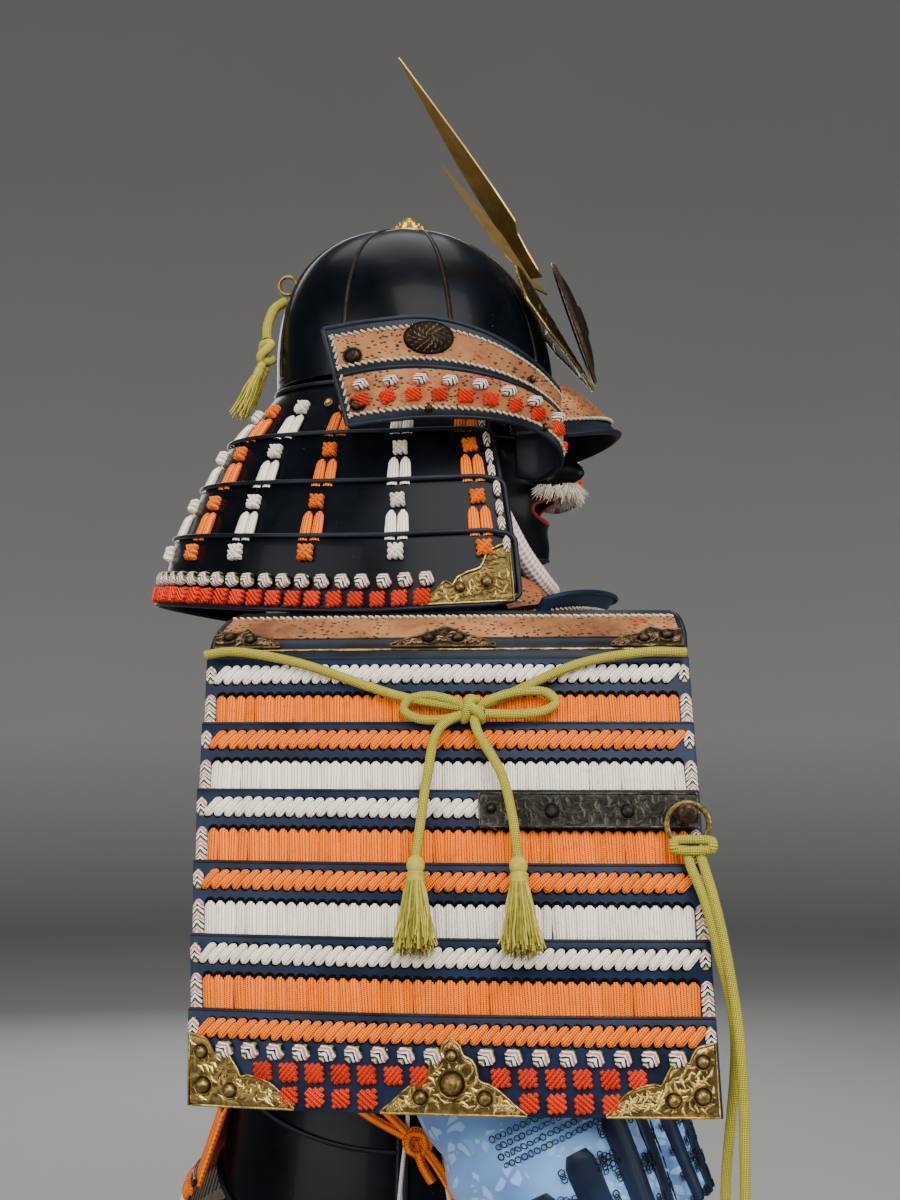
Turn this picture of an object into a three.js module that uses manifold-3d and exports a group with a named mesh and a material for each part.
// A suit of samurai armour in its worn pose, hollow, with nobody inside.
// Millimetres, +Z up, the suit faces -Y and its wearer's right is -X.
// The origin is between the shoulders, under the shoulder straps, where the wearer holds the suit up.
import * as THREE from 'three';
import { mergeVertices } from 'three/addons/utils/BufferGeometryUtils.js';
import Module from 'manifold-3d';

const wasm = await Module();
wasm.setup();

// ---- Driving dimensions ----

// Walls, the gap between touching pieces, and the round cord that ties the suit.
const plateWall = 2.6;
const clothWall = 3;
const seamGap = 0.3;
const cordDiameter = 7;

const bowl = { halfWidth: 100, halfLength: 119, height: 141, baseZ: 178, centreY: 14, lean: 6,
  backPower: 2.6, frontPower: 2.15, holeAngle: 84, plates: 8, ribWidth: 3.6, ribHeight: 3.2 };
const crown = { radius: 21, height: 15 };
const visor = { span: 60, thickness: 3, rootDrop: 2, edgeHalfWidth: 92, edgeCentreY: -70, edgeDepth: 96,
  edgePower: 1.8, tipZ: 137, sideDrop: 17, sideLift: 26 };
const neckguard = { centreY: 14, clear: 2.6, roundness: 0.98, tuck: 0.07 };
const turnback = { thickness: 3, step: 1.8 };
const horn = { thickness: 1.4, turn: 26, spread: 0.86 };
const hornBaseEnd = { x: 25, y: -95, z: 272 };
const hornTip = { x: 140, y: 9, z: 429 };
const hornBase = { thickness: 2.2, topY: -81, topZ: 283, slope: 0.58, roundRadius: 95 };
const crest = { radius: 56, thickness: 2, dish: 9, y: -124, z: 236, tilt: 19 };
const rearRing = { radius: 8, wire: 1.8, y: 129.5, z: 279 };
const mask = { halfWidth: 74, depth: 82, centreY: -22, span: 96 };
const mouth = { halfWidth: 33, height: 22, z: 71, depth: 40 };
const chinCordDiameter = 18;
const cuirass = { power: 2.25, sideDip: 60, dipStartZ: -200, floorZ: -478, armholeZ: -152, collarZ: -26,
  seamAngle: 0.6 };
const breast = { span: 50, lowZ: -58, topZ: -5, offset: 4, flare: 12 };
const strap = { halfWidth: 27, thickness: 9, x: 104 };
const tasset = { count: 7, lames: 4, lameHeight: 56, thickness: 3, laceLength: 62, flare: 0.32, gap: 5,
  step: 4,
  taper: 14, slope: 0.95, clear: 6 };
const sode = { lameThickness: 2.4, laceHeight: 3.2, overlap: 4, lap: 6.4, bulge: 12, crownWall: 4,
  braidTop: 5, braidLow: 20, laceTop: 29 };
const kogai = { thickness: 2.2, rear: 0.575, front: 0.995, top: 3, height: 24, clear: 2.4 };
const ring = { radius: 14.5, wire: 2 };
const sleeve = { sides: 16, foldDepth: 3.2, folds: 5 };
const guard = { from: -22, to: 150, clear: 1.4, thickness: 2.6 };

// ---- Finishes ----

const blackLacquer = new THREE.MeshStandardMaterial({ color: 0x0c1016, roughness: 0.25, metalness: 0 });
const blueLacquer = new THREE.MeshStandardMaterial({ color: 0x1c2436, roughness: 0.4, metalness: 0 });
const agedBronze = new THREE.MeshStandardMaterial({ color: 0x6a5138, roughness: 0.5, metalness: 0.8 });
const brass = new THREE.MeshStandardMaterial({ color: 0xa98d52, roughness: 0.4, metalness: 0.9 });
const gilt = new THREE.MeshStandardMaterial({ color: 0xb98d3c, roughness: 0.35, metalness: 0.9 });
const printedLeather = new THREE.MeshStandardMaterial({ color: 0xb07a4c, roughness: 0.7, metalness: 0 });
const orangeSilk = new THREE.MeshStandardMaterial({ color: 0xf08a3c, roughness: 0.8, metalness: 0 });
const whiteSilk = new THREE.MeshStandardMaterial({ color: 0xe8dfd2, roughness: 0.8, metalness: 0 });
const oliveCord = new THREE.MeshStandardMaterial({ color: 0xa59c36, roughness: 0.8, metalness: 0 });
const pinkCord = new THREE.MeshStandardMaterial({ color: 0xd9bdb0, roughness: 0.9, metalness: 0 });
const hair = new THREE.MeshStandardMaterial({ color: 0xd8c8a8, roughness: 0.9, metalness: 0 });
const blueBrocade = new THREE.MeshStandardMaterial({ color: 0x4a74b8, roughness: 0.7, metalness: 0 });

const armour = new THREE.Group();

// ---- Shape tools ----

const rad = THREE.MathUtils.degToRad;
const lerp = THREE.MathUtils.lerp;

// Evenly spaced numbers from first to last.
function spread(first, last, count) {
  return Array.from({ length: count }, (_, i) => lerp(first, last, i / (count - 1)));
}

// A column of a table of rows, read at a place between two rows with a smooth curve through them all.
function readTable(rows, key, keyColumn, at) {
  const points = rows.map((row) => new THREE.Vector2(row[keyColumn], row[key]));
  let i = 0;
  const rising = points[points.length - 1].x > points[0].x;
  while (i < points.length - 2 && (rising ? at > points[i + 1].x : at < points[i + 1].x)) i += 1;
  const from = points[i];
  const to = points[i + 1];
  const before = points[Math.max(i - 1, 0)];
  const after = points[Math.min(i + 2, points.length - 1)];
  const span = to.x - from.x;
  const t = THREE.MathUtils.clamp((at - from.x) / span, 0, 1);
  const slopeFrom = (to.y - before.y) / (to.x - before.x) * span;
  const slopeTo = (after.y - from.y) / (after.x - from.x) * span;
  const t2 = t * t;
  const t3 = t2 * t;
  return (2 * t3 - 3 * t2 + 1) * from.y + (t3 - 2 * t2 + t) * slopeFrom
    + (3 * t2 - 2 * t3) * to.y + (t3 - t2) * slopeTo;
}

function signedVolume(positions, index) {
  const a = new THREE.Vector3();
  const b = new THREE.Vector3();
  const c = new THREE.Vector3();
  let volume = 0;
  for (let i = 0; i < index.length; i += 3) {
    a.fromArray(positions, index[i] * 3);
    b.fromArray(positions, index[i + 1] * 3);
    c.fromArray(positions, index[i + 2] * 3);
    volume += a.dot(b.cross(c)) / 6;
  }
  return volume;
}

function solid(positions, index) {
  const facing = [...index];
  if (signedVolume(positions, index) < 0) facing.reverse();
  const geometry = new THREE.BufferGeometry();
  geometry.setAttribute('position', new THREE.Float32BufferAttribute(positions, 3));
  geometry.setIndex(facing);
  return geometry;
}

// A closed outline of [u, v] carried through a row of stations. place(station, u, v) gives [x, y, z].
// A closed row joins its last station to its first. An open one is capped at both ends.
function sweep(outline, stations, place, closed = false) {
  const positions = [];
  const index = [];
  const n = outline.length;
  stations.forEach((station) => outline.forEach(([u, v]) => positions.push(...place(station, u, v))));
  const last = closed ? stations.length : stations.length - 1;
  for (let i = 0; i < last; i += 1) {
    const here = i * n;
    const next = ((i + 1) % stations.length) * n;
    for (let j = 0; j < n; j += 1) {
      const k = (j + 1) % n;
      index.push(here + j, here + k, next + k);
      index.push(here + j, next + k, next + j);
    }
  }
  if (!closed) {
    const contour = outline.map(([u, v]) => new THREE.Vector2(u, v));
    const turned = THREE.ShapeUtils.isClockWise(contour);
    const end = (stations.length - 1) * n;
    THREE.ShapeUtils.triangulateShape(contour, []).forEach(([a, b, c]) => {
      if (turned) index.push(a, b, c, end + a, end + c, end + b);
      else index.push(a, c, b, end + a, end + b, end + c);
    });
  }
  return solid(positions, index);
}

// The outline of a thin wall: the face at thickness t0, and back along the face at t1.
function wallOutline(levels, t0, t1) {
  return [...levels.map((level) => [level, t0]), ...[...levels].reverse().map((level) => [level, t1])];
}

function toManifold(geometry) {
  const bare = geometry.clone();
  bare.deleteAttribute('normal');
  bare.deleteAttribute('uv');
  const merged = mergeVertices(bare, 1e-4);
  return new wasm.Manifold(new wasm.Mesh({
    numProp: 3,
    vertProperties: new Float32Array(merged.attributes.position.array),
    triVerts: new Uint32Array(merged.index.array),
  }));
}

function fromManifold(manifold) {
  const mesh = manifold.getMesh();
  const geometry = new THREE.BufferGeometry();
  geometry.setAttribute('position', new THREE.BufferAttribute(new Float32Array(mesh.vertProperties), 3));
  geometry.setIndex(new THREE.BufferAttribute(new Uint32Array(mesh.triVerts), 1));
  return geometry;
}

function join(geometries) {
  return fromManifold(geometries.map(toManifold).reduce((whole, next) => whole.add(next)));
}

// A round tube along a smooth line through the given points.
function tube(points, diameter, { sides = 8, steps = 0 } = {}) {
  const stops = points.map((p) => new THREE.Vector3(...p));
  const curve = new THREE.CatmullRomCurve3(stops, false, 'centripetal');
  const section = new THREE.Shape();
  for (let i = 0; i < sides; i += 1) {
    const angle = (i / sides) * Math.PI * 2;
    const x = Math.cos(angle) * diameter / 2;
    const y = Math.sin(angle) * diameter / 2;
    if (i === 0) section.moveTo(x, y);
    else section.lineTo(x, y);
  }
  section.closePath();
  const count = steps || Math.max(6, Math.ceil(curve.getLength() / (diameter * 2.8)));
  const geometry = new THREE.ExtrudeGeometry(section,
    { steps: count, bevelEnabled: false, curveSegments: 1, extrudePath: curve });
  geometry.deleteAttribute('normal');
  geometry.deleteAttribute('uv');
  return mergeVertices(geometry, 1e-4);
}

function lathe(profile, sides) {
  const geometry = new THREE.LatheGeometry(profile.map(([r, z]) => new THREE.Vector2(r, z)), sides);
  geometry.deleteAttribute('normal');
  geometry.deleteAttribute('uv');
  const merged = mergeVertices(geometry, 1e-4);
  merged.rotateX(Math.PI / 2);
  const positions = [...merged.attributes.position.array];
  const whole = [];
  const index = [...merged.index.array];
  for (let i = 0; i < index.length; i += 3) {
    const [a, b, c] = index.slice(i, i + 3);
    if (a !== b && b !== c && c !== a) whole.push(a, b, c);
  }
  return solid(positions, whole);
}

function add(name, geometry, finish, place = null) {
  const mesh = new THREE.Mesh(geometry, finish);
  mesh.name = name;
  if (place) place(mesh);
  armour.add(mesh);
  return mesh;
}

// The same solid on the other side of the suit.
function mirrored(geometry) {
  const positions = [...geometry.attributes.position.array];
  for (let i = 0; i < positions.length; i += 3) positions[i] *= -1;
  return solid(positions, [...geometry.index.array]);
}

function addPair(name, geometry, finish) {
  add(`${name}_right`, geometry, finish);
  add(`${name}_left`, mirrored(geometry), finish);
}

// ---- Helmet bowl ----

// A point of the bowl: angle from the back round through the left, rise from the rim to the crown and
// depth inwards.
function bowlPoint(angle, rise, depth) {
  const a = rad(angle);
  const power = lerp(bowl.frontPower, bowl.backPower, (1 + Math.cos(a)) / 2);
  const out = Math.cos(rad(rise)) ** (2 / power);
  const up = Math.sin(rad(rise)) ** (2 / power);
  return [
    (bowl.halfWidth - depth) * out * Math.sin(a),
    bowl.centreY + bowl.lean * up + (bowl.halfLength - depth) * out * Math.cos(a),
    bowl.baseZ + (bowl.height - depth) * up,
  ];
}

function helmetBowl() {
  const rises = [0, 14, 28, 42, 55, 66, 76, bowl.holeAngle];
  const outline = wallOutline(rises, 0, plateWall);
  add('helmet_bowl', sweep(outline, spread(0, 345, 24), bowlPoint, true), blackLacquer);

  const ribs = [];
  const step = 360 / bowl.plates;
  const half = bowl.ribWidth / 2;
  const section = [[-half, seamGap], [half, seamGap], [half, bowl.ribHeight], [-half, bowl.ribHeight]];
  for (let i = 0; i < bowl.plates; i += 1) {
    const angle = (i + 0.5) * step;
    ribs.push(sweep(section, [3, 14, 28, 42, 55, 66, 76, 82], (rise, side, out) => {
      const [x, y, z] = bowlPoint(angle, rise, -out);
      return [x + side * Math.cos(rad(angle)), y - side * Math.sin(rad(angle)), z];
    }));
  }
  const collar = wallOutline([76, bowl.holeAngle], -seamGap, -bowl.ribHeight);
  ribs.push(sweep(collar, spread(0, 345, 24), (a, rise, depth) => bowlPoint(a, rise, depth), true));
  add('bowl_ribs', join(ribs), agedBronze);

  const top = bowl.baseZ + bowl.height + bowl.ribHeight + seamGap;
  const profile = [[0, 0], [crown.radius, 0], [crown.radius, 2.5], [16, 4], [17, 7], [12, 9], [12.5, 11],
    [6, 13], [5, crown.height], [0, crown.height]];
  add('crown_ornament', lathe(profile, 16), gilt, (mesh) => {
    mesh.position.set(0, bowl.centreY + bowl.lean, top);
  });
}

// ---- Visor ----

function visorPoint(angle, out, lift) {
  const b = rad(angle);
  const side = Math.sin(b);
  const ahead = Math.cos(b);
  const rootX = (bowl.halfWidth + 3.5) * side;
  const rootY = bowl.centreY - (bowl.halfLength + 3.5) * ahead;
  const rootZ = bowl.baseZ - visor.rootDrop + 6 * ahead;
  const power = 2 / visor.edgePower;
  const reach = Math.min(1, Math.abs(angle) / visor.span);
  const edgeSide = Math.sign(side) * Math.sin(rad(90 * reach)) ** power;
  const edgeX = visor.edgeHalfWidth * edgeSide;
  const edgeY = visor.edgeCentreY - visor.edgeDepth * Math.cos(rad(88 * reach)) ** power;
  const edgeZ = visor.tipZ - visor.sideDrop * Math.sin(rad(90 * reach)) ** 2
    + visor.sideLift * Math.max(0, reach - 0.6) ** 2 / 0.16;
  const swell = 5 * Math.sin(Math.PI * out);
  return [
    lerp(rootX, edgeX, out) + side * swell * 0.4,
    lerp(rootY, edgeY, out) - ahead * swell * 0.4,
    lerp(rootZ, edgeZ, out) + swell + lift,
  ];
}

function helmetVisor() {
  const outline = wallOutline([0, 0.35, 0.7, 1], 0, visor.thickness);
  add('visor', sweep(outline, spread(-visor.span, visor.span, 19), visorPoint), printedLeather);
}

// ---- Neck guard ----

// One row for each of the four curved lames, from the bowl down. back, side and ahead say how far its
// lower edge stands from the middle of the helmet at the back, at the sides and at the front corners.
// topDrop and lowDrop say how much its edges sag at the sides.
const neckRows = [
  { topZ: 174, lowZ: 122, back: 163, side: 134, ahead: 78, topDrop: 3, lowDrop: 8 },
  { topZ: 129, lowZ: 83, back: 184, side: 154, ahead: 90, topDrop: 7, lowDrop: 12 },
  { topZ: 90, lowZ: 40, back: 207, side: 172, ahead: 100, topDrop: 11, lowDrop: 15 },
  { topZ: 47, lowZ: -9, back: 224, side: 187, ahead: 108, topDrop: 14, lowDrop: 18 },
];
const neckTop = { back: 121, side: 104, ahead: 74 };

// Each lame starts just outside the one above it.
neckRows.forEach((row, i) => {
  const above = neckRows[i - 1];
  ['back', 'side', 'ahead'].forEach((key) => {
    if (!above) {
      row[`${key}Top`] = neckTop[key];
      return;
    }
    const t = (above.topZ - row.topZ) / (above.topZ - above.lowZ);
    const clear = key === 'ahead' ? 3 : plateWall + neckguard.clear;
    row[`${key}Top`] = lerp(above[`${key}Top`], above[key], t) + clear;
  });
});

// Angles run from the back round to 90 at each side and on to 120 at the front corners.
function neckPoint(row, angle, down, out) {
  const a = rad(angle);
  const read = (key) => lerp(row[`${key}Top`], row[key], down);
  const past = Math.max(0, (Math.abs(angle) - 90) / 30);
  const drop = lerp(row.topDrop, row.lowDrop, down) * (past > 0 ? 1 - 0.3 * past : Math.sin(a) ** 2);
  const z = lerp(row.topZ, row.lowZ, down) - drop;
  const side = read('side') + out;
  if (past > 0) {
    const tucked = side * (1 - neckguard.tuck * past ** 2);
    return [Math.sign(a) * tucked, neckguard.centreY - read('ahead') * past, z];
  }
  const wide = Math.sign(a) * Math.abs(Math.sin(a)) ** neckguard.roundness;
  const behind = Math.max(0, Math.cos(a)) ** neckguard.roundness;
  return [side * wide, neckguard.centreY + (read('back') + out) * behind, z];
}

function neckGuard() {
  neckRows.forEach((row, i) => {
    const outline = wallOutline([0, 0.34, 0.67, 1], 0, plateWall);
    const angles = spread(-120, 120, 25);
    const lame = sweep(outline, angles, (a, down, out) => neckPoint(row, a, down, out));
    add(`neckguard_${i + 1}`, lame, blackLacquer);
  });
}

// ---- Turned-back wings at the front of the neck guard ----

// One row for each upright section, from the rear end, round the front curl, to the inner end.
const wingRows = [
  { x: 188, y: 60, top: 194, split: 156, low: 117, slant: 0.26 },
  { x: 186, y: 22, top: 200, split: 162, low: 121, slant: 0.15 },
  { x: 180, y: -22, top: 203, split: 164, low: 124 },
  { x: 169, y: -64, top: 193, split: 159, low: 124 },
  { x: 153, y: -97, top: 175, split: 149, low: 119 },
  { x: 139, y: -115, top: 158, split: 137, low: 108 },
  { x: 125, y: -118, top: 150, split: 128, low: 94 },
  { x: 113, y: -103, top: 147, split: 122, low: 85 },
  { x: 108, y: -84, top: 149, split: 121, low: 88 },
];

function wingPoint(at, level, out) {
  const i = Math.min(Math.floor(at), wingRows.length - 2);
  const read = (key) => lerp(wingRows[i][key], wingRows[i + 1][key], at - i);
  const near = wingRows[Math.max(Math.round(at) - 1, 0)];
  const far = wingRows[Math.min(Math.round(at) + 1, wingRows.length - 1)];
  const normal = new THREE.Vector2(-(far.y - near.y), far.x - near.x).normalize();
  const heights = [read('low'), lerp(read('low'), read('split'), 0.5), read('split'), read('split'),
    lerp(read('split'), read('top'), 0.5), read('top')];
  const slant = lerp(wingRows[i].slant ?? 0, wingRows[i + 1].slant ?? 0, at - i);
  const lean = slant * (heights[5] - heights[level]);
  return [-(read('x') + normal.x * out), read('y') - lean + normal.y * out, heights[level]];
}

function turnedBackWings() {
  const lower = turnback.thickness + turnback.step;
  const outline = [[0, 0], [2, 0], [4, 0], [5, 0], [5, turnback.thickness], [4, turnback.thickness],
    [3, turnback.thickness], [2, lower], [1, lower], [0, lower]];
  const stations = wingRows.map((_, i) => i);
  addPair('turnback', sweep(outline, stations, wingPoint), printedLeather);
}

// ---- Horns, their socket plate and the crest disc ----

// Width of a horn along its length.
const hornRows = [
  { at: 0, outer: 8.5, inner: 8.5 },
  { at: 0.12, outer: 9.5, inner: 9.5 },
  { at: 0.2, outer: 12, inner: 10 },
  { at: 0.25, outer: 19, inner: 13 },
  { at: 0.4, outer: 17.5, inner: 14 },
  { at: 0.6, outer: 13, inner: 11 },
  { at: 0.8, outer: 7, inner: 6 },
  { at: 1, outer: 0.7, inner: 0.7 },
];

function hornPoint(row, side, lift) {
  const rise = new THREE.Vector3(0, hornTip.y - hornBaseEnd.y, hornTip.z - hornBaseEnd.z);
  const line = new THREE.Vector3(-(hornTip.x - hornBaseEnd.x), rise.y, rise.z).normalize();
  const face = new THREE.Vector3(0, -rise.z, rise.y).normalize();
  face.applyAxisAngle(line, rad(horn.turn));
  const across = new THREE.Vector3().crossVectors(face, line);
  const centre = new THREE.Vector3(
    -lerp(hornBaseEnd.x, hornTip.x, row.at ** horn.spread),
    lerp(hornBaseEnd.y, hornTip.y, row.at),
    lerp(hornBaseEnd.z, hornTip.z, row.at),
  );
  const width = side > 0 ? row.outer : -row.inner;
  return centre.addScaledVector(across, width).addScaledVector(face, lift).toArray();
}

function hornsAndCrest() {
  const section = [[-1, 0], [1, 0], [1, horn.thickness], [-1, horn.thickness]];
  addPair('horn', sweep(section, hornRows, hornPoint), gilt);

  // Half width of the socket plate at each height below its top.
  const plateRows = [
    { down: 0, half: 30 },
    { down: 12, half: 40 },
    { down: 34, half: 50 },
    { down: 62, half: 44 },
    { down: 86, half: 26 },
    { down: 103, half: 8 },
  ];
  const across = spread(-1, 1, 9);
  const outline = wallOutline(across, 0, hornBase.thickness);
  add('horn_base', sweep(outline, plateRows, (row, side, out) => {
    const x = side * row.half;
    const y = hornBase.topY - hornBase.slope * row.down + x * x / (2 * hornBase.roundRadius);
    return [x, y - out, hornBase.topZ - row.down - out * 0.5];
  }), brass);

  const dish = (r) => crest.dish * (1 - (r / crest.radius) ** 2);
  const radii = [0, 14, 28, 42, crest.radius];
  const back = radii.map((r) => [r, -dish(r)]);
  const face = radii.map((r) => [r, crest.thickness - dish(r)]).reverse();
  const profile = [...back, ...face];
  add('crest_disc', lathe(profile, 22), agedBronze, (mesh) => {
    mesh.position.set(0, crest.y, crest.z);
    mesh.rotation.x = rad(90 - crest.tilt);
  });
}

// ---- Ring, cord and tassels at the back of the bowl ----

// One tassel: a bound head and a brush that widens to its foot, from one point to another.
function tassel(head, foot, radius) {
  const from = new THREE.Vector3(...head);
  const line = new THREE.Vector3(...foot).sub(from);
  const length = line.length();
  const profile = [[0, 0], [4.5, -1], [7, -6], [6.5, -13], [5.5, -16], [radius * 0.8, -length * 0.5],
    [radius, -length], [0, -length]];
  const geometry = lathe(profile, 10);
  const down = new THREE.Vector3(0, 0, -1);
  geometry.applyQuaternion(new THREE.Quaternion().setFromUnitVectors(down, line.normalize()));
  geometry.translate(...head);
  return geometry;
}

function ball(centre, radius, squash = [1, 1, 1]) {
  const sphere = solidOf(new THREE.SphereGeometry(radius, 10, 7));
  sphere.scale(...squash);
  sphere.translate(...centre);
  return sphere;
}

function rearCordAndRing() {
  add('rear_ring', solidOf(new THREE.TorusGeometry(rearRing.radius, rearRing.wire, 8, 16)), brass, (mesh) => {
    mesh.position.set(0, rearRing.y, rearRing.z);
    mesh.rotation.y = Math.PI / 2;
  });
  const z = rearRing.z - rearRing.radius - rearRing.wire - seamGap;
  add('rear_cord', tube([[0, 132, z - 4.5], [-8, 139, z - 12], [-17, 142, z - 24], [-27, 142, z - 36],
    [-31, 141, z - 46]], cordDiameter + 2), oliveCord);
  const longTassel = tassel([-37, 143, z - 67], [-50, 162, z - 119], 10);
  const shortTassel = tassel([-28, 141, z - 68], [-26, 160, z - 104], 9);
  const knot = ball([-32, 141, z - 61], 10, [1, 1, 1.2]);
  add('rear_tassels', join([knot, longTassel, shortTassel]), oliveCord);
}

function bare(geometry) {
  const copy = geometry.clone();
  copy.deleteAttribute('normal');
  copy.deleteAttribute('uv');
  return copy;
}

// ---- Face mask ----

// Front profile of the mask down its middle: how far it stands ahead of the plain curve.
const faceRows = [
  { z: 28, ahead: 8, wide: 0.62 },
  { z: 40, ahead: 6, wide: 0.74 },
  { z: 54, ahead: 2, wide: 0.84 },
  { z: 66, ahead: 4, wide: 0.9 },
  { z: 80, ahead: 8, wide: 0.94 },
  { z: 90, ahead: 11, wide: 0.97 },
  { z: 98, ahead: 26, wide: 0.98 },
  { z: 106, ahead: 31, wide: 1 },
  { z: 118, ahead: 22, wide: 1 },
  { z: 130, ahead: 14, wide: 1 },
  { z: 142, ahead: 8, wide: 1 },
];

function maskPoint(angle, level, depth) {
  const a = rad(angle);
  const row = faceRows[level];
  const nose = row.z > 94 ? 9 : 24;
  const bulge = row.ahead * Math.exp(-((angle / nose) ** 2));
  const cheek = 5 * Math.exp(-(((Math.abs(angle) - 42) / 16) ** 2) - (((row.z - 108) / 18) ** 2));
  const dip = row.z > 124 ? (row.z - 124) * 0.75 * Math.min(1, Math.abs(angle) / 26) : 0;
  const reach = mask.depth - depth + bulge + cheek;
  return [
    (mask.halfWidth * row.wide - depth + cheek) * Math.sin(a),
    mask.centreY - reach * Math.cos(a) * lerp(1, row.wide, 0.25),
    row.z - dip,
  ];
}

function faceMask() {
  const angles = [-mask.span, -76, -56, -40, -27, -17, -9, -4, 0, 4, 9, 17, 27, 40, 56, 76, mask.span];
  const shell = sweep(wallOutline(faceRows.map((_, i) => i), 0, plateWall), angles, maskPoint);
  const opening = new THREE.SphereGeometry(1, 18, 10);
  opening.scale(mouth.halfWidth, mouth.depth, mouth.height / 2);
  opening.translate(0, mask.centreY - mask.depth, mouth.z);
  const cut = toManifold(shell).subtract(toManifold(opening));
  add('face_mask', fromManifold(cut), blackLacquer);

  const path = [[-46, -98, 86], [-34, -112, 88], [-18, -123, 91], [0, -127, 93], [18, -123, 91], [34, -112, 88],
    [46, -98, 86]];
  const sides = spread(0, 300, 6);
  const section = sides.map((s) => [Math.cos(rad(s)), Math.sin(rad(s))]);
  add('moustache', sweep(section, path.map((_, i) => i), (i, u, v) => {
    const thick = 4.6 - 3.4 * Math.abs(i - 3) / 3;
    return [path[i][0], path[i][1] - 4.4 + u * thick * 0.7, path[i][2] - 2 + v * (thick + 2)];
  }), hair);
}

function chinCord() {
  const half = [[-88, -22, 158], [-86, -44, 112], [-75, -66, 66], [-56, -84, 30], [-30, -99, 8]];
  const other = half.map(([x, y, z]) => [-x, y, z]).reverse();
  add('chin_cord', tube([...half, [0, -104, 2], ...other], chinCordDiameter, { sides: 10 }), pinkCord);
}

// ---- Cuirass ----

// One row for each height of the cuirass: half its width, and how far its back and front stand from the middle.
const trunkRows = [
  { z: -20, half: 148, back: 128, front: 144 },
  { z: -90, half: 158, back: 138, front: 154 },
  { z: -190, half: 164, back: 144, front: 158 },
  { z: -290, half: 160, back: 148, front: 154 },
  { z: -370, half: 157, back: 154, front: 152 },
  { z: -430, half: 166, back: 166, front: 160 },
  { z: -480, half: 174, back: 176, front: 168 },
  { z: -560, half: 186, back: 190, front: 182 },
];

function trunkRadius(a, z, out) {
  const half = readTable(trunkRows, 'half', 'z', z) + out;
  const depth = readTable(trunkRows, Math.cos(a) > 0 ? 'back' : 'front', 'z', z) + out;
  const power = 2 / cuirass.power;
  const s = Math.sin(a);
  const c = Math.cos(a);
  return [half * Math.sign(s) * Math.abs(s) ** power, depth * Math.sign(c) * Math.abs(c) ** power];
}

function hemDip(a, z) {
  const low = THREE.MathUtils.clamp((cuirass.dipStartZ - z) / (cuirass.dipStartZ - cuirass.floorZ), 0, 1);
  return cuirass.sideDip * low * Math.sin(a) ** 2;
}

// The top edge of the cuirass, which drops under each arm.
function armholeTop(a) {
  const side = Math.abs(Math.sin(a));
  const drop = THREE.MathUtils.smoothstep(side, 0.5, 0.92);
  return lerp(cuirass.collarZ, cuirass.armholeZ, drop);
}

function trunkPoint(angle, level, out) {
  const a = rad(angle);
  const top = armholeTop(a);
  const z = lerp(cuirass.floorZ, top, level);
  const [x, y] = trunkRadius(a, z, out);
  return [x, y, z - hemDip(a, z)];
}

function cuirassShells() {
  const levels = [0, 0.12, 0.26, 0.45, 0.66, 0.85, 1];
  const outline = wallOutline(levels, 0, plateWall);
  const gap = cuirass.seamAngle;
  add('cuirass_back', sweep(outline, spread(-90 + gap, 90 - gap, 19), trunkPoint), blackLacquer);
  add('cuirass_front', sweep(outline, spread(90 + gap, 270 - gap, 19), trunkPoint), blackLacquer);

  const plate = (centre) => sweep(wallOutline([0, 0.5, 0.85, 1], 0, plateWall),
    spread(centre - breast.span, centre + breast.span, 13), (angle, level, out) => {
      const a = rad(angle);
      const edge = ((angle - centre) / breast.span) ** 4;
      const z = lerp(breast.lowZ, breast.topZ - 10 * edge, level);
      const flare = breast.flare * Math.max(0, level - 0.5) ** 2 * 4;
      const [x, y] = trunkRadius(a, Math.min(z, -26), breast.offset + flare + out);
      return [x, y, z];
    });
  add('chest_plate', plate(180), blueLacquer);
  add('back_plate', plate(0), blueLacquer);
}

function shoulderStraps() {
  // One row for each section of a strap, from the back over the shoulder to the chest.
  const rows = [
    { y: 98, z: -19, up: 0.3 },
    { y: 86, z: -4, up: 0.7 },
    { y: 60, z: 8, up: 1 },
    { y: 10, z: 12, up: 1 },
    { y: -45, z: 9, up: 1 },
    { y: -92, z: -4, up: 0.8 },
    { y: -108, z: -19, up: 0.3 },
  ];
  const w = strap.halfWidth;
  const section = [[-w, 0], [w, -3], [w, strap.thickness - 4], [w * 0.5, strap.thickness],
    [-w * 0.5, strap.thickness], [-w, strap.thickness - 3]];
  addPair('shoulder_strap', sweep(section, rows, (row, side, up) => [
    -(strap.x + side * lerp(0.75, 1, row.up)),
    row.y * (1 - 0.0004 * side * side) + (row.y > 0 ? 1 : -1) * up * (1 - row.up),
    row.z + up * row.up - side * side * 0.006,
  ]), printedLeather);
}

// ---- Hanging skirt panels ----

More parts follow.
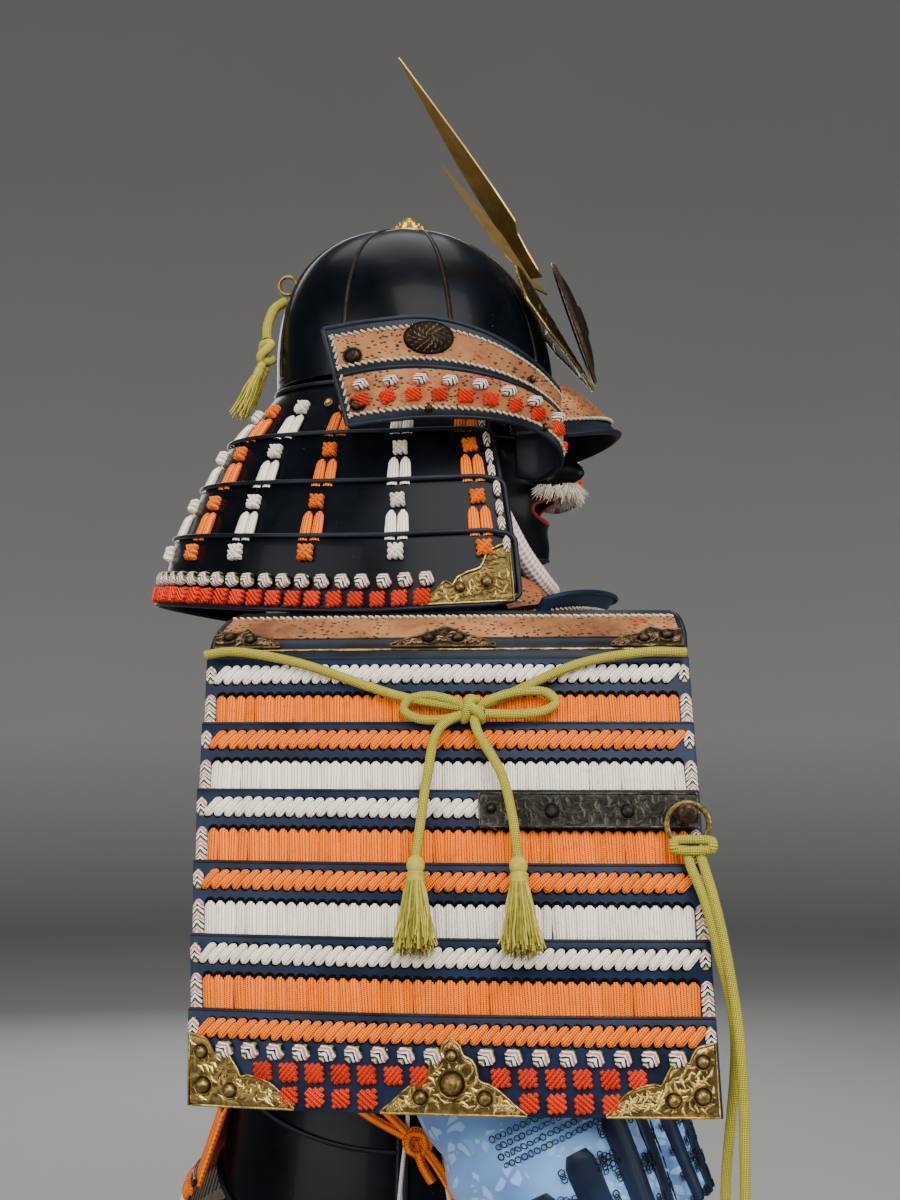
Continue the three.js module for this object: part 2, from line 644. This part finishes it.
function tassets() {
  const share = 360 / tasset.count;
  const total = tasset.lames * tasset.lameHeight;
  for (let i = 0; i < tasset.count; i += 1) {
    const centre = i * share;
    // The panel at the back hangs from higher on the cuirass than the others do.
    const topZ = i === 0 ? -428 : cuirass.floorZ - 16 - cuirass.sideDip * Math.sin(rad(centre)) ** 2;
    const outline = [[0, 0], [0, tasset.thickness]];
    for (let k = 0; k < tasset.lames; k += 1) {
      const start = tasset.laceLength + k * tasset.lameHeight;
      const proud = tasset.thickness + tasset.step;
      const end = start + tasset.lameHeight - tasset.taper;
      outline.push([start, tasset.thickness], [start + 1, proud], [end, proud]);
    }
    outline.push([tasset.laceLength + total, tasset.thickness], [tasset.laceLength + total, 0]);
    const half = share / 2 - tasset.gap / 2;
    add(`tasset_${i + 1}`, sweep(outline, spread(centre - half, centre + half, 6), (angle, down, out) => {
      const a = rad(angle);
      const z = topZ - down * tasset.slope;
      const [x, y] = trunkRadius(a, topZ, tasset.clear + down * tasset.flare + out);
      return [x, y, z];
    }), orangeSilk);
  }
}

// ---- Shoulder boards ----

// One row for the top edge of each lame and one for the bottom: how far out, how high, rear end and front end.
const sodeRows = [
  { x: 235, z: -67, rear: 138, front: -221 },
  { x: 255, z: -115, rear: 136, front: -224 },
  { x: 275, z: -163, rear: 134, front: -227 },
  { x: 294, z: -213, rear: 131, front: -230 },
  { x: 308, z: -263, rear: 129, front: -233 },
  { x: 318, z: -313, rear: 127, front: -236 },
  { x: 325, z: -378, rear: 125, front: -240 },
];

// A point on a lame: along from its rear end to its front, down from its top edge, out from its inner face.
function sodePoint(index, along, down, out) {
  const top = sodeRows[index];
  const low = sodeRows[index + 1];
  const height = top.z - low.z;
  const lowX = index < sodeRows.length - 2 ? low.x - sode.lap : low.x;
  const t = down / height;
  const rear = lerp(top.rear, low.rear, t);
  const front = lerp(top.front, low.front, t);
  const middle = 1 - (2 * along - 1) ** 2;
  const slope = Math.hypot(lowX - top.x, height);
  const x = lerp(top.x, lowX, t) + sode.bulge * middle + out * height / slope;
  return [-x, lerp(rear, front, along), lerp(top.z, low.z, t) + out * (lowX - top.x) / slope];
}

function lameOutline(index) {
  const height = sodeRows[index].z - sodeRows[index + 1].z;
  const plate = sode.lameThickness;
  const proud = plate + sode.laceHeight;
  if (index === sodeRows.length - 2) {
    return [[0, 0], [0, plate], [sode.braidTop, plate], [sode.braidTop + 1, proud], [sode.braidLow, proud],
      [sode.braidLow + 1, plate], [height, plate], [height, 0]];
  }
  return [[0, 0], [0, plate], [sode.braidTop, plate], [sode.braidTop + 1, proud], [sode.braidLow, proud],
    [sode.braidLow + 1, plate], [sode.laceTop - 1, plate], [sode.laceTop, proud],
    [height + sode.overlap, proud], [height + sode.overlap, 0]];
}

function shoulderBoards() {
  const along = spread(0, 1, 9);
  for (let i = 0; i < sodeRows.length - 1; i += 1) {
    const finish = i % 2 === 0 ? orangeSilk : whiteSilk;
    const lame = sweep(lameOutline(i), along, (t, down, out) => sodePoint(i, t, down, out));
    addPair(`sode_lame_${i + 1}`, lame, finish);
  }

  // The crown plate: a board that rolls over from its inner edge to a lip above the first lame.
  const section = [
    { x: 172, z: -30, wide: 0.93 },
    { x: 190, z: -35, wide: 0.96 },
    { x: 212, z: -45, wide: 0.98 },
    { x: 226, z: -55, wide: 0.985 },
    { x: 232, z: -66, wide: 0.985 },
  ];
  const outline = wallOutline(section.map((_, i) => i), 0, sode.crownWall);
  addPair('crown_plate', sweep(outline, along, (t, i, out) => {
    const here = section[i];
    const next = section[Math.min(i + 1, section.length - 1)];
    const last = section[Math.max(i - 1, 0)];
    const normal = new THREE.Vector2(-(next.z - last.z), next.x - last.x).normalize();
    const middle = 1 - (2 * t - 1) ** 2;
    const centre = (sodeRows[0].rear + sodeRows[0].front) / 2;
    const half = (sodeRows[0].rear - sodeRows[0].front) / 2 * here.wide;
    return [-(here.x + sode.bulge * 0.8 * middle + normal.x * out), lerp(centre + half, centre - half, t),
      here.z + normal.y * out - 2];
  }), printedLeather);
}

function kogaiPlates() {
  const lame = 2;
  const out0 = sode.lameThickness + sode.laceHeight + kogai.clear;
  const plate = sweep(wallOutline([kogai.top, kogai.top + kogai.height], out0, out0 + kogai.thickness),
    spread(kogai.rear, kogai.front, 8), (t, down, out) => sodePoint(lame, t, down, out));
  const [kx, ky, kz] = sodePoint(lame, 0.975, kogai.top + 13, out0 + kogai.thickness);
  const knob = lathe([[0, -3], [7, -3], [7, 3], [4, 4], [4, 12], [6, 14], [6, 18], [0, 20]], 12);
  knob.rotateY(-Math.PI / 2);
  knob.translate(kx, ky, kz);
  addPair('kogai_plate', join([plate, knob]), agedBronze);

  const hoop = solidOf(new THREE.TorusGeometry(ring.radius, ring.wire, 8, 18));
  hoop.rotateY(Math.PI / 2);
  hoop.rotateZ(rad(4));
  hoop.translate(kx - 9, ky, kz - ring.radius + ring.wire + 4 + seamGap);
  addPair('sode_ring', hoop, brass);
  return [kx - 9, ky, kz - 2 * ring.radius + 4 + seamGap];
}

// ---- Cords ----

function cords(ringFoot) {
  const lift = sode.lameThickness + sode.laceHeight + cordDiameter / 2 + 1.4;
  const on = (lame, along, down, off) => sodePoint(lame, along, down, lift + off);
  const knotAt = on(0, 0.565, 42, 4);
  const span = (...points) => tube([...points, knotAt], cordDiameter);
  const end = (...points) => tube([knotAt, ...points], cordDiameter);
  add('bow_cord', join([
    ball(knotAt, 10, [0.7, 1.25, 1]),
    span(on(0, 0.004, 0, 2), on(0, 0.06, -2, 3), on(0, 0.2, 6, 1), on(0, 0.42, 32, 2)),
    span(on(0, 0.996, 0, 2), on(0, 0.92, 0, 3), on(0, 0.78, 8, 1), on(0, 0.64, 30, 2)),
    span(knotAt, on(0, 0.5, 37, 6), on(0, 0.42, 39, 3), on(0, 0.41, 48, 4), on(0, 0.47, 50, 6)),
    span(knotAt, on(0, 0.63, 33, 6), on(0, 0.72, 34, 3), on(0, 0.735, 44, 4), on(0, 0.66, 48, 6)),
    end(on(1, 0.5, 8, 6), on(1, 0.475, 40, 5), on(2, 0.462, 25, 6), on(2, 0.452, 46, 8)),
    end(on(1, 0.575, 10, 6), on(1, 0.62, 40, 8), on(2, 0.64, 20, 9), on(2, 0.648, 46, 8)),
  ]), oliveCord);
  const drop = seamGap * 12;
  add('bow_tassel_rear', tassel(on(2, 0.452, 46 + drop, 8), on(3, 0.45, 62, 17), 16), oliveCord);
  add('bow_tassel_front', tassel(on(2, 0.648, 46 + drop, 8), on(3, 0.652, 62, 17), 16), oliveCord);

  const [rx, ry, rz] = ringFoot;
  add('ring_cord', tube([[rx + 6, ry - 22, rz - 330], [rx + 4, ry - 22, rz - 230], [rx - 12, ry - 31, rz - 120],
    [rx - 20, ry - 19, rz - 62], [rx - 11, ry - 4, rz - 24], [rx - 5, ry, rz - 9], [rx - 10, ry - 12, rz - 20],
    [rx - 20, ry - 24, rz - 62], [rx - 26, ry - 34, rz - 130], [rx - 26, ry - 35, rz - 230],
    [rx - 22, ry - 33, rz - 330]], cordDiameter), oliveCord);
}

function solidOf(geometry) {
  const merged = mergeVertices(bare(geometry), 1e-4);
  return solid([...merged.attributes.position.array], [...merged.index.array]);
}

function closingCord() {
  const side = (y, z, off) => {
    const [x] = trunkRadius(Math.PI / 2 + Math.asin(-y / 200), z, off);
    return [-x, y, z];
  };
  const off = 6;
  const knotAt = side(-14, -432, off + 6);
  const pieces = [ball(knotAt, 9),
    tube([side(58, -392, off), side(30, -412, off), knotAt], cordDiameter),
    tube([side(44, -388, off), side(20, -404, off + 2), knotAt], cordDiameter),
    tube([knotAt, side(-34, -424, off + 3), side(-58, -418, off)], cordDiameter),
    tube([knotAt, side(-18, -447, off + 8), side(-26, -460, off + 8)], cordDiameter),
    tube([knotAt, side(-28, -446, off + 8), side(-44, -470, off + 10)], cordDiameter)];
  add('closing_cord', join(pieces), orangeSilk);
}

// ---- Armoured sleeves ----

// One row for each section of a sleeve, from the shoulder to the wrist and the back of the hand.
const sleeveRows = [
  { x: 170, y: 6, z: -58, wide: 25, deep: 50 },
  { x: 202, y: 2, z: -104, wide: 42, deep: 60 },
  { x: 220, y: -14, z: -170, wide: 44, deep: 62 },
  { x: 232, y: -44, z: -260, wide: 50, deep: 67 },
  { x: 240, y: -80, z: -345, wide: 51, deep: 70 },
  { x: 250, y: -112, z: -410, wide: 52, deep: 72 },
  { x: 256, y: -142, z: -470, wide: 50, deep: 65 },
  { x: 258, y: -176, z: -530, wide: 40, deep: 50 },
  { x: 256, y: -206, z: -585, wide: 34, deep: 40 },
];

function sleevePoint(at, angle, out, folded) {
  const steps = sleeveRows.map((row, i) => ({ ...row, i }));
  const read = (key) => readTable(steps, key, 'i', at);
  const ahead = 0.02;
  const from = new THREE.Vector3(read('x'), read('y'), read('z'));
  const later = Math.min(at + ahead, steps.length - 1);
  const sooner = later - ahead;
  const line = new THREE.Vector3(
    readTable(steps, 'x', 'i', later) - readTable(steps, 'x', 'i', sooner),
    readTable(steps, 'y', 'i', later) - readTable(steps, 'y', 'i', sooner),
    readTable(steps, 'z', 'i', later) - readTable(steps, 'z', 'i', sooner),
  ).normalize();
  const across = new THREE.Vector3(1, 0, 0).addScaledVector(line, -line.x).normalize();
  const forward = new THREE.Vector3().crossVectors(line, across);
  const a = rad(angle);
  const fold = folded * sleeve.foldDepth * Math.sin(sleeve.folds * Math.PI * at / 2 + Math.sin(a) * 1.2);
  from.addScaledVector(across, Math.cos(a) * (read('wide') + out + fold));
  from.addScaledVector(forward, Math.sin(a) * (read('deep') + out + fold));
  return [-from.x, from.y, from.z];
}

function sleeves() {
  const stops = spread(0, sleeveRows.length - 1, 12);
  const outline = wallOutline(stops, 0, -clothWall);
  const angles = spread(0, 360 - 360 / sleeve.sides, sleeve.sides);
  addPair('sleeve', sweep(outline, angles, (a, at, out) => sleevePoint(at, a, out, at < 6.2 ? 1 : 0), true),
    blueBrocade);

  const lower = [4.9, 5.4, 6, 6.6, 7.2, 7.8, 8];
  const inside = sleeve.foldDepth + guard.clear;
  const shell = wallOutline(lower, inside, inside + guard.thickness);
  addPair('forearm_guard', sweep(shell, spread(guard.from, guard.to, 12),
    (a, at, out) => sleevePoint(at, a, out, 0)), blackLacquer);
}

helmetBowl();
helmetVisor();
neckGuard();
turnedBackWings();
hornsAndCrest();
rearCordAndRing();
faceMask();
chinCord();
cuirassShells();
shoulderStraps();
tassets();
shoulderBoards();
cords(kogaiPlates());
closingCord();
sleeves();

export default armour;
